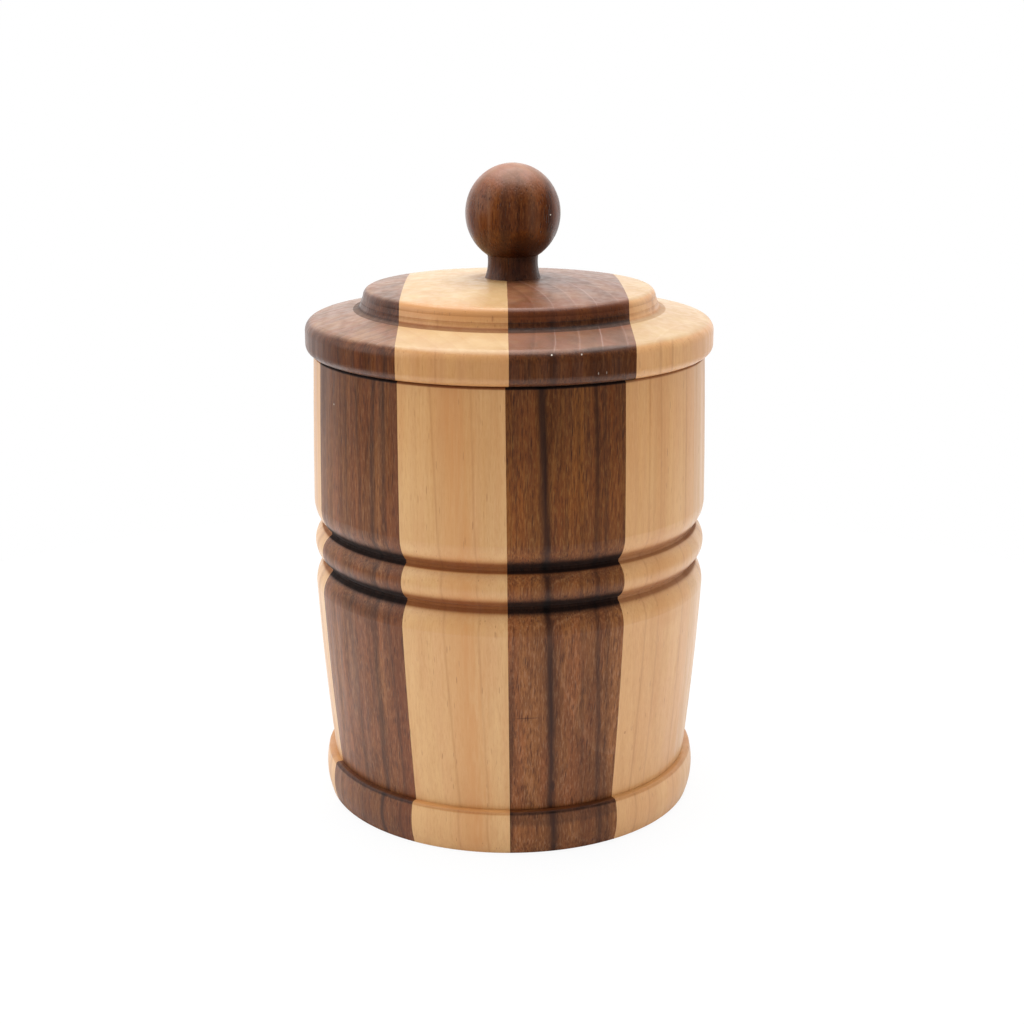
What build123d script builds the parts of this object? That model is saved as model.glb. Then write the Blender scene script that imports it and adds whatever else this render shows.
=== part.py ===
from build123d import *
import os
from math import acos, asin, cos, degrees, radians, sin, sqrt, tan

# A turned wooden jar with a loose lid, in millimetres, +Z up, standing on z = 0.
# The wall is a ring of glued staves, the lid is four glued boards under a turned knob.
# Angles round the jar are counted from its front (-Y) towards its right (+X).

# Jar wall
BODY_RADIUS = 55.2          # widest turning, at the lips of the two grooves
BODY_HEIGHT = 128.4         # foot to rim
RIM_DRAW_IN = 0.9           # the rim is this much smaller than the widest turning
WAIST_DRAW_IN = 4.1         # so is the waist just above the foot ring
RIM_WALL = 8.3              # wall thickness at the rim
RIM_ROUND = 0.8             # outer edge of the rim
MOUTH_ROUND = 1.2           # inner edge of the rim
UPPER_BELLY = 0.1           # how far the upper wall swells past a straight taper
LOWER_BELLY = 0.35          # and the lower wall

# Foot ring
FOOT_HEIGHT = 12.2
FOOT_PROUD = 2.55           # how far the ring's bulge stands out of the waist
FOOT_BASE_IN = 1.05         # the ring's bottom edge lies inside its bulge
FOOT_TOP_IN = 0.5           # and so does its top edge
FOOT_EDGE_ROUND = 0.55
FOOT_SHOULDER_ROUND = 1.0

# Bead between two grooves
GROOVE_HEIGHT = 69.7        # bottom of the lower groove
BEAD_PITCH = 10.4           # from one groove bottom to the other
GROOVE_DEPTH = 2.8
GROOVE_LAND = 0.75          # flat at the bottom of a groove
LIP_HEIGHT = 6.6            # rounding that runs from the wall into a groove
BEAD_RISE = 2.8             # height of the bead's crest over the groove bottoms

# Staves: joints seen from the front as (angle, lean in degrees), the rest evenly round the back
SEEN_JOINTS = ((-69.0, 0.0), (-30.6, -0.9), (-0.35, -0.55), (33.2, 0.0))
HIDDEN_STAVES = 8
JOINT_DATUM = 64.0          # height at which those angles are true
JOINT_SPARE = 3.0           # degrees left on a blank for sawing a leaning joint

# Floor disc, let into a rebate from below
FLOOR_THICKNESS = 8.5
FLOOR_RECESS = 1.0          # the foot stands this much lower than the disc
FLOOR_LEDGE = 3.0           # rebate's width
FLOOR_CHAMFER = 0.6
GLUE_GAP = 0.05             # room for glue round the disc and the knob's tenon

# Lid
LID_OVERHANG = 1.3          # beyond the widest turning
LID_UNDER_ROUND = 2.6
LID_TOP_ROUND = 3.35
FLANGE_THICKNESS = 9.45     # at the lid's edge
FLANGE_SLOPE = 12.0         # degrees, rising inwards
STEP_INSET = 16.1           # from the lid's edge to the raised step
STEP_HEIGHT = 5.8
STEP_DRAFT = 0.6            # the step narrows this much towards its top
STEP_COVE = 2.0
STEP_ROUND = 2.3
DOME_RISE = 2.4             # from the step's edge to the knob's seat
DOME_SWELL = 0.37
SPIGOT_DEPTH = 8.0
SPIGOT_CLEARANCE = 0.5      # all round, inside the mouth
SPIGOT_ROUND = 1.5

# Lid boards: joints from left to right as (place on the X axis, skew in degrees)
LID_JOINTS = ((-28.75, 0.0), (-0.8, 0.76), (30.7, 1.97))

# Knob
KNOB_OFFSET = 1.0           # the knob stands this far to the right of the jar's axis
BALL_RADIUS = 13.05
BALL_HALF_HEIGHT = 13.5
NECK_HEIGHT = 6.2
NECK_FOOT_RADIUS = 7.7
NECK_TOP_RADIUS = 7.0
NECK_HOLLOW = 0.4
SEAT_MARGIN = 0.6           # least flat round the knob's foot
TENON_RADIUS = 5.0
TENON_LENGTH = 14.0
BORE_SPARE = 1.0            # bore deeper than the tenon

# Sizes that follow
groove_radius = BODY_RADIUS - GROOVE_DEPTH
rim_radius = BODY_RADIUS - RIM_DRAW_IN
waist_radius = BODY_RADIUS - WAIST_DRAW_IN
mouth_radius = rim_radius - RIM_WALL
foot_radius = waist_radius + FOOT_PROUD
rebate_radius = mouth_radius + FLOOR_LEDGE
floor_top = FLOOR_RECESS + FLOOR_THICKNESS
lid_radius = BODY_RADIUS + LID_OVERHANG
spigot_radius = mouth_radius - SPIGOT_CLEARANCE
reach = 3 * (BODY_HEIGHT + lid_radius)      # size of the blocks that saw the blanks apart


def section(curves):
    """Face on the radius-height plane, closed by the curves."""
    return Plane.XZ * make_face(curves)


def turned(curves):
    """Solid of revolution about the jar's axis."""
    return revolve(section(curves), Axis.Z, 360)


def rounding(radius, height, size, start, sweep):
    """Arc about a point of the radius-height plane."""
    return CenterArc((radius, height), size, start, sweep)


def swelling(start, end, swell):
    """Arc from start to end that stands out of the straight line by swell, away from the axis."""
    middle_radius = (start[0] + end[0]) / 2 + swell
    middle_height = (start[1] + end[1]) / 2
    return ThreePointArc(start, (middle_radius, middle_height), end)


def foot_curves():
    """Outline of the foot ring, from the rebate to the waist."""
    base = foot_radius - FOOT_BASE_IN
    top = foot_radius - FOOT_TOP_IN
    shoulder = FOOT_HEIGHT - FOOT_SHOULDER_ROUND
    bulge = (FOOT_EDGE_ROUND + shoulder) / 2
    return [
        Line((rebate_radius, 0), (base - FOOT_EDGE_ROUND, 0)),
        rounding(base - FOOT_EDGE_ROUND, FOOT_EDGE_ROUND, FOOT_EDGE_ROUND, -90, 90),
        ThreePointArc((base, FOOT_EDGE_ROUND), (foot_radius, bulge), (top, shoulder)),
        rounding(top - FOOT_SHOULDER_ROUND, shoulder, FOOT_SHOULDER_ROUND, 0, 90),
        Line((top - FOOT_SHOULDER_ROUND, FOOT_HEIGHT), (waist_radius, FOOT_HEIGHT)),
    ]


def bead_curves():
    """Outline of the wall's middle: lower wall, lip, groove, bead, groove, lip and upper wall."""
    low = GROOVE_HEIGHT
    high = GROOVE_HEIGHT + BEAD_PITCH
    land = GROOVE_LAND / 2
    low_lip = low - land - LIP_HEIGHT
    high_lip = high + land + LIP_HEIGHT
    lip_radius = (LIP_HEIGHT**2 + GROOVE_DEPTH**2) / (2 * GROOVE_DEPTH)
    lip_sweep = degrees(asin(LIP_HEIGHT / lip_radius))
    lip_centre = BODY_RADIUS - lip_radius
    return [
        swelling((waist_radius, FOOT_HEIGHT), (BODY_RADIUS, low_lip), LOWER_BELLY),
        rounding(lip_centre, low_lip, lip_radius, 0, lip_sweep),
        Line((groove_radius, low - land), (groove_radius, low + land)),
        swelling((groove_radius, low + land), (groove_radius, high - land), BEAD_RISE),
        Line((groove_radius, high - land), (groove_radius, high + land)),
        rounding(lip_centre, high_lip, lip_radius, -lip_sweep, lip_sweep),
        swelling((BODY_RADIUS, high_lip), (rim_radius, BODY_HEIGHT - RIM_ROUND), UPPER_BELLY),
    ]


def inside_curves():
    """Outline of the rim, the inner wall and the rebate for the floor."""
    mouth_edge = mouth_radius + MOUTH_ROUND
    return [
        rounding(rim_radius - RIM_ROUND, BODY_HEIGHT - RIM_ROUND, RIM_ROUND, 0, 90),
        Line((rim_radius - RIM_ROUND, BODY_HEIGHT), (mouth_edge, BODY_HEIGHT)),
        rounding(mouth_edge, BODY_HEIGHT - MOUTH_ROUND, MOUTH_ROUND, 90, 90),
        Line((mouth_radius, BODY_HEIGHT - MOUTH_ROUND), (mouth_radius, floor_top)),
        Line((mouth_radius, floor_top), (rebate_radius, floor_top)),
        Line((rebate_radius, floor_top), (rebate_radius, 0)),
    ]


def joint_side(angle, lean, side):
    """Block on one side (+1 or -1) of a leaning stave joint, a plane that runs in to the jar's axis."""
    joint = Pos(0, 0, JOINT_DATUM) * Rot(0, 0, angle - 90) * Rot(-lean, 0, 0)
    return joint * Pos(0, side * reach / 2, 0) * Box(reach, reach, reach)


def stave_joints():
    """Every joint round the jar as (angle, lean), the first repeated at the end of the turn."""
    first_angle, first_lean = SEEN_JOINTS[0]
    last_angle = SEEN_JOINTS[-1][0]
    step = (first_angle + 360 - last_angle) / HIDDEN_STAVES
    hidden = [(last_angle + step * count, 0.0) for count in range(1, HIDDEN_STAVES)]
    return [*SEEN_JOINTS, *hidden, (first_angle + 360, first_lean)]


def stave(outline, left, right):
    """One stave of the ring, turned a little wide where a joint leans and then sawn to it."""
    start = left[0] - (JOINT_SPARE if left[1] else 0)
    end = right[0] + (JOINT_SPARE if right[1] else 0)
    piece = Rot(0, 0, start - 90) * revolve(outline, Axis.Z, end - start)
    if left[1]:
        piece = piece & joint_side(*left, 1)
    if right[1]:
        piece = piece & joint_side(*right, -1)
    return piece


def staves():
    """The wall's staves in order round the jar."""
    outline = section(foot_curves() + bead_curves() + inside_curves())
    joints = stave_joints()
    return [stave(outline, left, right) for left, right in zip(joints[:-1], joints[1:])]


def floor_disc():
    """The disc that closes the jar, glued up against the ledge of its rebate."""
    radius = rebate_radius - GLUE_GAP
    return turned([
        Line((0, FLOOR_RECESS), (radius - FLOOR_CHAMFER, FLOOR_RECESS)),
        Line((radius - FLOOR_CHAMFER, FLOOR_RECESS), (radius, FLOOR_RECESS + FLOOR_CHAMFER)),
        Line((radius, FLOOR_RECESS + FLOOR_CHAMFER), (radius, floor_top)),
        Line((radius, floor_top), (0, floor_top)),
        Line((0, floor_top), (0, FLOOR_RECESS)),
    ])


# The lid's levels, all above the rim that it rests on
flange_shoulder = BODY_HEIGHT + FLANGE_THICKNESS - LID_TOP_ROUND
slope_radius = lid_radius - LID_TOP_ROUND * (1 - sin(radians(FLANGE_SLOPE)))
slope_height = flange_shoulder + LID_TOP_ROUND * cos(radians(FLANGE_SLOPE))
step_radius = lid_radius - STEP_INSET
crease_radius = step_radius + STEP_DRAFT + STEP_COVE
crease_height = slope_height + (slope_radius - crease_radius) * tan(radians(FLANGE_SLOPE))
step_top = crease_height + STEP_HEIGHT
seat_height = step_top + DOME_RISE
seat_radius = KNOB_OFFSET + NECK_FOOT_RADIUS + SEAT_MARGIN


def flange_curves():
    """Outline of the lid from the middle of its underside to the crease round the step."""
    spigot_foot = BODY_HEIGHT - SPIGOT_DEPTH
    spigot_edge = spigot_radius - SPIGOT_ROUND
    under_edge = lid_radius - LID_UNDER_ROUND
    return [
        Line((0, spigot_foot), (spigot_edge, spigot_foot)),
        rounding(spigot_edge, spigot_foot + SPIGOT_ROUND, SPIGOT_ROUND, -90, 90),
        Line((spigot_radius, spigot_foot + SPIGOT_ROUND), (spigot_radius, BODY_HEIGHT)),
        Line((spigot_radius, BODY_HEIGHT), (under_edge, BODY_HEIGHT)),
        rounding(under_edge, BODY_HEIGHT + LID_UNDER_ROUND, LID_UNDER_ROUND, -90, 90),
        Line((lid_radius, BODY_HEIGHT + LID_UNDER_ROUND), (lid_radius, flange_shoulder)),
        rounding(lid_radius - LID_TOP_ROUND, flange_shoulder, LID_TOP_ROUND, 0, 90 - FLANGE_SLOPE),
        Line((slope_radius, slope_height), (crease_radius, crease_height)),
    ]


def step_curves():
    """Outline of the raised step, its dome and the knob's seat, back to the axis."""
    cove_end = (step_radius + STEP_DRAFT, crease_height + STEP_COVE)
    side_end = (step_radius, step_top - STEP_ROUND)
    dome_start = (step_radius - STEP_ROUND, step_top)
    dome_middle = ((dome_start[0] + seat_radius) / 2, (step_top + seat_height) / 2 + DOME_SWELL)
    return [
        rounding(crease_radius, cove_end[1], STEP_COVE, 270, -90),
        Line(cove_end, side_end),
        rounding(dome_start[0], side_end[1], STEP_ROUND, 0, 90),
        ThreePointArc(dome_start, dome_middle, (seat_radius, seat_height)),
        Line((seat_radius, seat_height), (0, seat_height)),
        Line((0, seat_height), (0, BODY_HEIGHT - SPIGOT_DEPTH)),
    ]


def board_side(place, skew, side):
    """Block on one side (+1 or -1) of an upright joint across the lid."""
    return Pos(place, 0, 0) * Rot(0, 0, skew) * Pos(side * reach / 2, 0, 0) * Box(reach, reach, reach)


def lid_boards():
    """The lid's boards from left to right, turned as one and bored for the knob."""
    bore_depth = TENON_LENGTH + BORE_SPARE
    bore_middle = seat_height - bore_depth / 2
    bore = Pos(KNOB_OFFSET, 0, bore_middle) * Cylinder(TENON_RADIUS + GLUE_GAP, bore_depth)
    rest = turned(flange_curves() + step_curves()) - bore
    pieces = []
    for place, skew in LID_JOINTS:
        pieces.append(rest & board_side(place, skew, -1))
        rest = rest & board_side(place, skew, 1)
    return [*pieces, rest]


def lid_knob():
    """The turned knob: ball, hollow neck and the tenon that is glued into the lid."""
    swing = degrees(acos(NECK_TOP_RADIUS / BALL_RADIUS))
    drop = BALL_HALF_HEIGHT * sqrt(1 - (NECK_TOP_RADIUS / BALL_RADIUS)**2)
    neck_top = seat_height + NECK_HEIGHT
    centre = neck_top + drop
    tenon_foot = seat_height - TENON_LENGTH
    return Pos(KNOB_OFFSET, 0, 0) * turned([
        Line((0, tenon_foot), (TENON_RADIUS, tenon_foot)),
        Line((TENON_RADIUS, tenon_foot), (TENON_RADIUS, seat_height)),
        Line((TENON_RADIUS, seat_height), (NECK_FOOT_RADIUS, seat_height)),
        swelling((NECK_FOOT_RADIUS, seat_height), (NECK_TOP_RADIUS, neck_top), -NECK_HOLLOW),
        EllipticalCenterArc((0, centre), BALL_RADIUS, BALL_HALF_HEIGHT, -swing, arc_size=swing + 90),
        Line((0, centre + BALL_HALF_HEIGHT), (0, tenon_foot)),
    ])


def pieces_by_name():
    """Every piece of the jar under its node's name."""
    pieces = {"jar_floor": floor_disc(), "lid_knob": lid_knob()}
    for number, stave in enumerate(staves(), 1):
        pieces[f"wall_stave_{number:02d}"] = stave
    for number, board in enumerate(lid_boards(), 1):
        pieces[f"lid_board_{number}"] = board
    return pieces


os.makedirs("parts", exist_ok=True)
for node, piece in pieces_by_name().items():
    export_step(piece, f"parts/{node}.step")
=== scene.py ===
"""A turned jar of walnut and maple staves, dressed in oiled wood and set in a plain studio.

The jar stands on z = 0 with its front towards -Y. Lengths in this file are in millimetres and
angles in degrees, unless a name says otherwise; Blender's own unit is the metre.
"""

import logging
import math
from dataclasses import dataclass, field, replace
from enum import Enum

import bmesh
import bpy
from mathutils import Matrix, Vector

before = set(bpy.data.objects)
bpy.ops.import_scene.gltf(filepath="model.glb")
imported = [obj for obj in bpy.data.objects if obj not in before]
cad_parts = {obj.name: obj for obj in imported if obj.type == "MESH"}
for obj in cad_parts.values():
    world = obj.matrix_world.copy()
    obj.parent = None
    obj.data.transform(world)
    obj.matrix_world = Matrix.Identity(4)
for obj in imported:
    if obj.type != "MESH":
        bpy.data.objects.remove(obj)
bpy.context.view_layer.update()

log = logging.getLogger("jar")

MM = 0.001
PER_METRE = 1000.0

Colour = tuple[float, float, float]
Pair = tuple[float, float]
Point = tuple[float, float, float]


class Wiring:
    """Shorthand for adding and joining the nodes of one shader tree.

    Attributes:
        mix_inputs: Places of the amount and the two colours among the inputs of a Mix node.
        mix_output: Place of the mixed colour among its outputs.
    """

    mix_inputs = (0, 6, 7)
    mix_output = 2

    def __init__(self, tree: bpy.types.NodeTree) -> None:
        """Take the tree of a material, a world or a node group."""
        self.tree = tree

    @classmethod
    def afresh(cls, owner: bpy.types.ID) -> "Wiring":
        """Clear the nodes of a material or a world.

        Args:
            owner: The material or world.

        Returns:
            Shorthand for its empty tree.
        """
        owner.use_nodes = True
        owner.node_tree.nodes.clear()
        return cls(owner.node_tree)

    def node(self, kind: str, **settings: object) -> bpy.types.Node:
        """Add a node.

        Args:
            kind: Blender's identifier of the node type.
            **settings: Properties of the node, such as its operation.

        Returns:
            The new node.
        """
        made = self.tree.nodes.new(kind)
        for name, value in settings.items():
            setattr(made, name, value)
        return made

    def feed(self, socket: bpy.types.NodeSocket, value: object) -> None:
        """Join a socket to another one, or set its own value.

        Args:
            socket: The input to fill.
            value: An output socket or a plain value.
        """
        if isinstance(value, bpy.types.NodeSocket):
            self.tree.links.new(value, socket)
        elif socket.type == "RGBA" and len(value) == 3:
            socket.default_value = (*value, 1.0)
        else:
            socket.default_value = value

    def maths(self, operation: str, *values: object) -> bpy.types.NodeSocket:
        """Add a Math node.

        Args:
            operation: Name of the operation.
            *values: Sockets or numbers for its inputs, in order.

        Returns:
            The result's socket.
        """
        made = self.node("ShaderNodeMath", operation=operation)
        for socket, value in zip(made.inputs, values):
            self.feed(socket, value)
        return made.outputs[0]

    def total(self, operation: str, values: list[object]) -> bpy.types.NodeSocket:
        """Chain one operation over several values.

        Args:
            operation: Name of the operation, such as ADD or MAXIMUM.
            values: Sockets or numbers, at least one.

        Returns:
            The last result's socket.
        """
        result = values[0]
        for value in values[1:]:
            result = self.maths(operation, result, value)
        return result

    def vector(self, operation: str, *values: object) -> bpy.types.NodeSocket:
        """Add a Vector Math node.

        Args:
            operation: Name of the operation.
            *values: Sockets or points for its inputs, in order.

        Returns:
            The result's socket, which is a number for LENGTH, DISTANCE and DOT_PRODUCT.
        """
        made = self.node("ShaderNodeVectorMath", operation=operation)
        for socket, value in zip(made.inputs, values):
            self.feed(socket, value)
        is_number = operation in {"LENGTH", "DISTANCE", "DOT_PRODUCT"}
        return made.outputs["Value" if is_number else "Vector"]

    def scaled(self, vector: object, factor: float) -> bpy.types.NodeSocket:
        """Multiply a vector or colour by a number.

        Args:
            vector: Socket or point.
            factor: The number.

        Returns:
            The scaled vector's socket.
        """
        made = self.node("ShaderNodeVectorMath", operation="SCALE")
        self.feed(made.inputs["Vector"], vector)
        self.feed(made.inputs["Scale"], factor)
        return made.outputs["Vector"]

    def axes(self, vector: bpy.types.NodeSocket) -> bpy.types.NodeOutputs:
        """Split a vector.

        Args:
            vector: Socket to split.

        Returns:
            The outputs X, Y and Z.
        """
        made = self.node("ShaderNodeSeparateXYZ")
        self.feed(made.inputs["Vector"], vector)
        return made.outputs

    def joined(self, across: object, deep: object, along: object) -> bpy.types.NodeSocket:
        """Make a vector of three values.

        Args:
            across: Its X.
            deep: Its Y.
            along: Its Z.

        Returns:
            The vector's socket.
        """
        made = self.node("ShaderNodeCombineXYZ")
        for socket, value in zip(made.inputs, (across, deep, along)):
            self.feed(socket, value)
        return made.outputs["Vector"]

    def remap(
        self, value: object, low: float, high: float, start: object = 0.0, end: object = 1.0
    ) -> bpy.types.NodeSocket:
        """Ease a value from one span to another, held at its ends.

        Args:
            value: Socket to read.
            low: Value that gives start.
            high: Value that gives end.
            start: Result at low.
            end: Result at high.

        Returns:
            The eased value's socket.
        """
        made = self.node("ShaderNodeMapRange", interpolation_type="SMOOTHSTEP")
        spans = {"Value": value, "From Min": low, "From Max": high, "To Min": start, "To Max": end}
        for name, number in spans.items():
            self.feed(made.inputs[name], number)
        return made.outputs["Result"]

    def noise(
        self, where: bpy.types.NodeSocket, detail: float = 2.0, roughness: float = 0.5
    ) -> bpy.types.NodeSocket:
        """Add a Noise texture whose cells are one unit of its coordinates.

        Args:
            where: Coordinates, already scaled.
            detail: Octaves of finer noise.
            roughness: Weight of the finer octaves.

        Returns:
            The noise's socket, about 0 to 1.
        """
        made = self.node("ShaderNodeTexNoise")
        values = {"Vector": where, "Scale": 1.0, "Detail": detail, "Roughness": roughness}
        for name, value in values.items():
            self.feed(made.inputs[name], value)
        return made.outputs["Fac"]

    def waver(self, place: object) -> bpy.types.NodeSocket:
        """Add a soft noise along one line.

        Args:
            place: Socket that runs along the line.

        Returns:
            The noise's socket, about 0 to 1.
        """
        made = self.node("ShaderNodeTexNoise", noise_dimensions="1D")
        for name, value in {"W": place, "Scale": 1.0, "Detail": 1.0}.items():
            self.feed(made.inputs[name], value)
        return made.outputs["Fac"]

    def centred(self, noise: bpy.types.NodeSocket) -> bpy.types.NodeSocket:
        """Shift a noise so that it swings about 0."""
        return self.maths("SUBTRACT", noise, 0.5)

    def level(self, place: bpy.types.NodeSocket) -> bpy.types.NodeSocket:
        """Drop the height of a place."""
        return self.vector("MULTIPLY", place, (1.0, 1.0, 0.0))

    def tint(self, mode: str, amount: object, under: object, over: object) -> bpy.types.NodeSocket:
        """Lay one colour over another.

        Args:
            mode: Blend type, such as MIX or MULTIPLY.
            amount: Socket or number, 0 to 1.
            under: Colour or socket below.
            over: Colour or socket laid over it.

        Returns:
            The resulting colour's socket.
        """
        made = self.node("ShaderNodeMix", data_type="RGBA", blend_type=mode)
        for number, value in zip(self.mix_inputs, (amount, under, over)):
            self.feed(made.inputs[number], value)
        return made.outputs[self.mix_output]

    def group(self, pattern: "Pattern", **values: object) -> bpy.types.NodeOutputs:
        """Add one of the shared patterns.

        Args:
            pattern: The pattern.
            **values: Its inputs, with _ for the blanks in their names.

        Returns:
            The group's outputs.
        """
        made = self.node("ShaderNodeGroup", node_tree=pattern.tree)
        for name, value in values.items():
            self.feed(made.inputs[name.replace("_", " ")], value)
        return made.outputs


class Pattern:
    """Base of the wood's shared node groups, each of which is built once.

    A rate is how many cells of noise lie in a millimetre, across, deep and along the board.

    Attributes:
        name: The group's name.
        inputs: Its numbers, with the values that they start from.
        outputs: Its masks and values.
    """

    name = ""
    inputs: dict[str, float] = {}
    outputs: tuple[str, ...] = ("Mask",)

    def __init__(self) -> None:
        """Make the group with its sockets and wire it."""
        self.tree = bpy.data.node_groups.new(self.name, "ShaderNodeTree")
        sockets = self.tree.interface
        sockets.new_socket("Vector", in_out="INPUT", socket_type="NodeSocketVector")
        for label, value in self.inputs.items():
            socket = sockets.new_socket(label, in_out="INPUT", socket_type="NodeSocketFloat")
            socket.default_value = value
        for label in self.outputs:
            sockets.new_socket(label, in_out="OUTPUT", socket_type="NodeSocketFloat")
        wiring = Wiring(self.tree)
        given = wiring.node("NodeGroupInput").outputs
        result = wiring.node("NodeGroupOutput").inputs
        for label, value in zip(self.outputs, self.wire(wiring, given)):
            wiring.feed(result[label], value)

    def wire(self, wiring: Wiring, given: bpy.types.NodeOutputs) -> tuple[bpy.types.NodeSocket, ...]:
        """Work out the outputs.

        Args:
            wiring: Shorthand for the group's own tree.
            given: The group's inputs.

        Returns:
            A socket for each of the outputs, in their order.
        """
        raise NotImplementedError


class GrowthRings(Pattern):
    """Year rings round a pith that runs along the board: dark late wood and a pale first line.

    Attributes:
        bend_rate: Rate of the rings' bends.
        run_of_years: How soon wide years follow narrow ones, for each year.
        unevenness: How much wider or narrower the years get.
        late_end: Share of a year that has passed where the late wood fades.
        early_end: Share of a year that has passed where the pale line has faded.
    """

    name = "growth rings"
    inputs = {"Pith Across": 0.0, "Pith Deep": 0.0, "Ring Width": 3.0, "Waver": 1.0, "Sharpness": 3.0}
    outputs = ("Late Wood", "Early Line", "Year Tone")
    bend_rate: Point = (1 / 16, 1 / 16, 1 / 110)
    run_of_years = 0.31
    unevenness = 2.2
    late_end = 0.9
    early_end = 0.09

    def wire(self, wiring: Wiring, given: bpy.types.NodeOutputs) -> tuple[bpy.types.NodeSocket, ...]:
        """Work out the outputs.

        Args:
            wiring: Shorthand for the group's own tree.
            given: The group's inputs.

        Returns:
            A socket for each of the outputs, in their order.
        """
        level = wiring.level(given["Vector"])
        pith = wiring.joined(given["Pith Across"], given["Pith Deep"], 0.0)
        bend = wiring.noise(wiring.vector("MULTIPLY", given["Vector"], self.bend_rate))
        swing = wiring.maths("MULTIPLY", wiring.centred(bend), given["Waver"])
        radius = wiring.maths("ADD", wiring.vector("DISTANCE", level, pith), swing)
        years = wiring.maths("DIVIDE", radius, given["Ring Width"])
        uneven = wiring.waver(wiring.maths("MULTIPLY", years, self.run_of_years))
        years = wiring.maths("MULTIPLY_ADD", uneven, self.unevenness, years)
        season = wiring.maths("FRACT", years)
        year = wiring.node("ShaderNodeTexWhiteNoise", noise_dimensions="1D")
        wiring.feed(year.inputs["W"], wiring.maths("FLOOR", years))
        tone = year.outputs["Value"]
        late = wiring.maths("POWER", season, given["Sharpness"])
        late = wiring.maths("MULTIPLY", late, wiring.remap(season, self.late_end, 1.0, 1.0, 0.0))
        early = wiring.remap(season, 0.0, self.early_end, 1.0, 0.0)
        return late, wiring.maths("MULTIPLY", early, tone), tone


class Fibres(Pattern):
    """Lines of fibre along the board, its flecks, and broad soft bands of tone and hue.

    Attributes:
        coarseness: Fineness of the coarse lines, against that of the fine ones.
        fleck_rate: Rate of the flecks.
        band_rate: Rate of the bands of tone.
        hue_rate: Rate of the bands of hue.
        hue_start: Where these start, so that they don't follow the bands of tone.
    """

    name = "fibres"
    inputs = {"Fineness": 1.5, "Stretch": 42.0}
    outputs = ("Fine", "Coarse", "Fleck", "Band", "Hue")
    coarseness = 0.3
    fleck_rate: Point = (2.8, 2.8, 0.4)
    band_rate: Point = (1 / 9, 1 / 9, 1 / 160)
    hue_rate: Point = (1 / 5, 1 / 5, 1 / 45)
    hue_start: Point = (31.0, 17.0, 5.0)

    def wire(self, wiring: Wiring, given: bpy.types.NodeOutputs) -> tuple[bpy.types.NodeSocket, ...]:
        """Work out the outputs.

        Args:
            wiring: Shorthand for the group's own tree.
            given: The group's inputs.

        Returns:
            A socket for each of the outputs, in their order.
        """
        along = wiring.maths("DIVIDE", given["Fineness"], given["Stretch"])
        squeeze = wiring.joined(given["Fineness"], given["Fineness"], along)
        fine = wiring.vector("MULTIPLY", given["Vector"], squeeze)
        fleck = wiring.vector("MULTIPLY", given["Vector"], self.fleck_rate)
        band = wiring.vector("MULTIPLY", given["Vector"], self.band_rate)
        hue = wiring.vector("MULTIPLY_ADD", given["Vector"], self.hue_rate, self.hue_start)
        return (
            wiring.noise(fine, detail=3.0, roughness=0.65),
            wiring.noise(wiring.scaled(fine, self.coarseness)),
            wiring.noise(fleck, roughness=0.6),
            wiring.noise(band, detail=1.0),
            wiring.noise(hue),
        )


class Pores(Pattern):
    """Open vessels, cut lengthwise as dashes on the sides and across as dots on the end grain.

    Attributes:
        packing: Cells to each width or length of a pore, which set how close the pores lie.
        core: Distance from a pore's middle, in cells, where its edge begins.
        rim: Distance where its edge ends.
        shallowest: Depth of the shallowest pore, where the deepest has 1.
    """

    name = "pores"
    inputs = {"Width": 0.3, "Length": 5.0, "Amount": 0.4, "Slant": 0.0}
    packing = 0.5
    core = 0.22
    rim = 0.42
    shallowest = 0.4

    def wire(self, wiring: Wiring, given: bpy.types.NodeOutputs) -> tuple[bpy.types.NodeSocket, ...]:
        """Work out the outputs.

        Args:
            wiring: Shorthand for the group's own tree.
            given: The group's inputs.

        Returns:
            A socket for each of the outputs, in their order.
        """
        axes = wiring.axes(given["Vector"])
        lean = wiring.maths("MULTIPLY", axes["Z"], given["Slant"])
        upright = wiring.joined(wiring.maths("SUBTRACT", axes["X"], lean), axes["Y"], axes["Z"])
        size = wiring.joined(given["Width"], given["Width"], given["Length"])
        packed = wiring.scaled(wiring.vector("DIVIDE", upright, size), self.packing)
        cells = wiring.node("ShaderNodeTexVoronoi", feature="F1")
        wiring.feed(cells.inputs["Vector"], packed)
        wiring.feed(cells.inputs["Scale"], 1.0)
        chosen = wiring.node("ShaderNodeSeparateColor")
        wiring.feed(chosen.inputs["Color"], cells.outputs["Color"])
        present = wiring.maths("LESS_THAN", chosen.outputs["Red"], given["Amount"])
        shape = wiring.remap(cells.outputs["Distance"], self.core, self.rim, 1.0, 0.0)
        deeper = 1.0 - self.shallowest
        depth = wiring.maths("MULTIPLY_ADD", chosen.outputs["Green"], deeper, self.shallowest)
        return (wiring.total("MULTIPLY", [present, shape, depth]),)


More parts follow.
